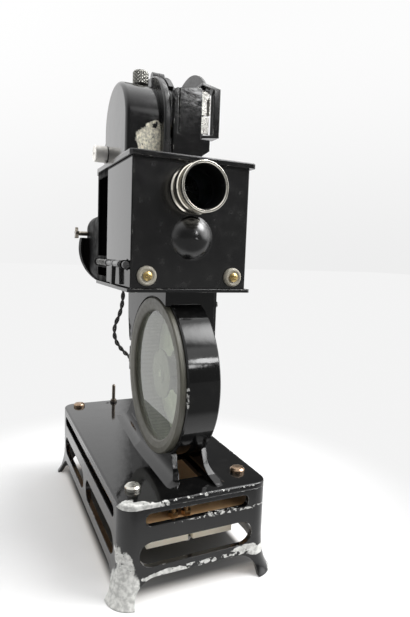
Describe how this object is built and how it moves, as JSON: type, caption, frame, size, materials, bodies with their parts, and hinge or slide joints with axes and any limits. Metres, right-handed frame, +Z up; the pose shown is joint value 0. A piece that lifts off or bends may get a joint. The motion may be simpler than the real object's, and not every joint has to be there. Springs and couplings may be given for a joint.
{
  "type": "hand-cranked movie projector",
  "caption": "Upright hand-cranked film projector: vented resistor base, glazed take-up drum, mechanism box with lens, cassette head on top and rear lamp hood",
  "frame": {"origin": "centre of the footprint, on the surface that the four feet stand on", "axes": "+Z up; -Y is the way the projection lens faces; +X is to the right of someone who looks at the lens, the side that the crank shaft comes out of"},
  "size_m": [0.1, 0.1953, 0.2932],
  "materials": {
    "black_casting": "gloss black enamel over a casting, worn to bare metal at edges",
    "black_sheet": "gloss black enamel on sheet",
    "fibre_board": "brown fibre board",
    "ceramic_bar": "matte cream fired ceramic",
    "dull_brass": "darkened brass",
    "bright_brass": "turned brass",
    "nickel": "bright nickel plate",
    "steel": "machined steel",
    "grey_alloy": "matte grey alloy",
    "bezel_grey": "olive grey enamel",
    "door_glass": "slightly green clear glass",
    "lens_glass": "clear optical glass",
    "black_plastic": "moulded black insulation",
    "pale_nut": "cream moulded nut",
    "flex_cover": "braided dark flex cover"
  },
  "bodies": {
    "stand": {"base_frame": "black_casting", "resistor_board": "fibre_board", "resistor_bars": "ceramic_bar", "bar_bolts": "steel", "board_terminals": "dull_brass", "cover_bolts": "dull_brass", "terminal_pin": "dull_brass", "cover_bushes": "black_plastic", "main_casting": "black_casting", "door_hinge_pin": "steel", "spring_belt": "steel", "side_cover": "black_sheet", "side_screws": "steel", "mechanism_box": "black_sheet", "front_cover": "black_sheet", "left_panel": "black_sheet", "cover_nuts": "pale_nut", "cover_studs": "bright_brass", "bottom_plate": "black_sheet", "top_plate": "black_sheet", "latch_spring": "steel", "lens_flange": "nickel", "gate_plate": "nickel", "pressure_plate": "nickel", "condenser_lens": "lens_glass", "condenser_ring": "black_sheet", "crank_bush": "dull_brass", "mechanism_frame": "grey_alloy", "rewind_housing": "black_casting", "cassette_flange": "black_casting", "cassette_backplate": "grey_alloy", "film_head": "black_casting", "head_frame": "black_sheet", "guide_plates": "nickel", "lamp_house": "black_sheet", "lamp_socket": "bright_brass", "lamp_bulb": "lens_glass", "lamp_flex": "flex_cover"},
    "crank": {"crank_shaft": "steel", "crank_gear": "bright_brass"},
    "main_drive": {"main_shaft": "steel", "main_bevel": "bright_brass"},
    "shutter": {"shutter_shaft": "steel", "shutter_disc": "black_sheet"},
    "takeup": {"takeup_core": "grey_alloy", "takeup_shaft": "steel"},
    "claw": {"claw_arm": "steel"},
    "lens": {"lens_tube": "nickel", "lens_glass": "lens_glass"},
    "door": {"door_bezel": "bezel_grey", "door_glass": "door_glass"},
    "rewind_hub": {"rewind_gear": "bright_brass"},
    "rewind_drive": {"rewind_spindle": "nickel"},
    "knob": {"knurled_knob": "grey_alloy"},
    "star": {"star_screw": "dull_brass"},
    "latch": {"latch_rod": "steel", "latch_lever": "steel"},
    "clamp": {"clamp_arm": "black_sheet"},
    "cassette": {"film_cassette": "black_sheet"},
    "cap": {"lamp_cap": "black_sheet"}
  },
  "joints": [
    {"name": "crank_spin", "type": "hinge", "parent": "stand", "child": "crank", "pos_m": [0.03, -0.00827, 0.1875], "axis": [1, 0, 0], "continuous": true},
    {"name": "main_spin", "type": "hinge", "parent": "stand", "child": "main_drive", "pos_m": [0, -0.0309, 0.1955], "axis": [1, 0, 0], "continuous": true},
    {"name": "shutter_spin", "type": "hinge", "parent": "stand", "child": "shutter", "pos_m": [0, -0.0309, 0.1955], "axis": [0, 1, 0], "continuous": true},
    {"name": "takeup_spin", "type": "hinge", "parent": "stand", "child": "takeup", "pos_m": [0, -0.0419, 0.1112], "axis": [1, 0, 0], "continuous": true},
    {"name": "claw_swing", "type": "hinge", "parent": "stand", "child": "claw", "pos_m": [-0.0095, -0.0399, 0.2065], "axis": [1, 0, 0], "range_deg": [-2, 2]},
    {"name": "lens_focus", "type": "slide", "parent": "stand", "child": "lens", "axis": [0, -1, 0], "range_m": [-0.004, 0.006]},
    {"name": "door_swing", "type": "hinge", "parent": "stand", "child": "door", "pos_m": [-0.0103, 0.0085, 0.1112], "axis": [0, 0, -1], "range_deg": [0, 100]},
    {"name": "rewind_spin", "type": "hinge", "parent": "stand", "child": "rewind_hub", "pos_m": [-0.02, -0.0324, 0.2595], "axis": [1, 0, 0], "continuous": true},
    {"name": "rewind_spindle_spin", "type": "hinge", "parent": "stand", "child": "rewind_drive", "pos_m": [-0.035, -0.0132, 0.2451], "axis": [1, 0, 0], "continuous": true},
    {"name": "knob_turn", "type": "hinge", "parent": "stand", "child": "knob", "pos_m": [-0.0217, -0.0344, 0.285], "axis": [0, 0, 1], "range_deg": [0, 360]},
    {"name": "star_turn", "type": "hinge", "parent": "stand", "child": "star", "pos_m": [-0.031, 0.0932, 0.1995], "axis": [-1, 0, 0], "range_deg": [0, 360]},
    {"name": "latch_pull", "type": "slide", "parent": "stand", "child": "latch", "axis": [0, -1, 0], "range_m": [0, 0.004], "stiffness_N_per_m": 150},
    {"name": "clamp_lift", "type": "hinge", "parent": "stand", "child": "clamp", "pos_m": [-0.0099, -0.03591, 0.28808], "axis": [-1, 0, 0], "range_deg": [0, 75]},
    {"name": "cassette_lift", "type": "slide", "parent": "stand", "child": "cassette", "axis": [0, 0, 1], "range_m": [0, 0.045]},
    {"name": "cap_pull", "type": "slide", "parent": "stand", "child": "cap", "axis": [0, 1, 0], "range_m": [0, 0.02]}
  ],
  "couplings": [
    {"joint": "main_spin", "follows": "crank_spin", "ratio": -4},
    {"joint": "shutter_spin", "follows": "crank_spin", "ratio": -4},
    {"joint": "takeup_spin", "follows": "crank_spin", "ratio": 0.6522},
    {"joint": "rewind_spindle_spin", "follows": "rewind_spin", "ratio": -4}
  ]
}
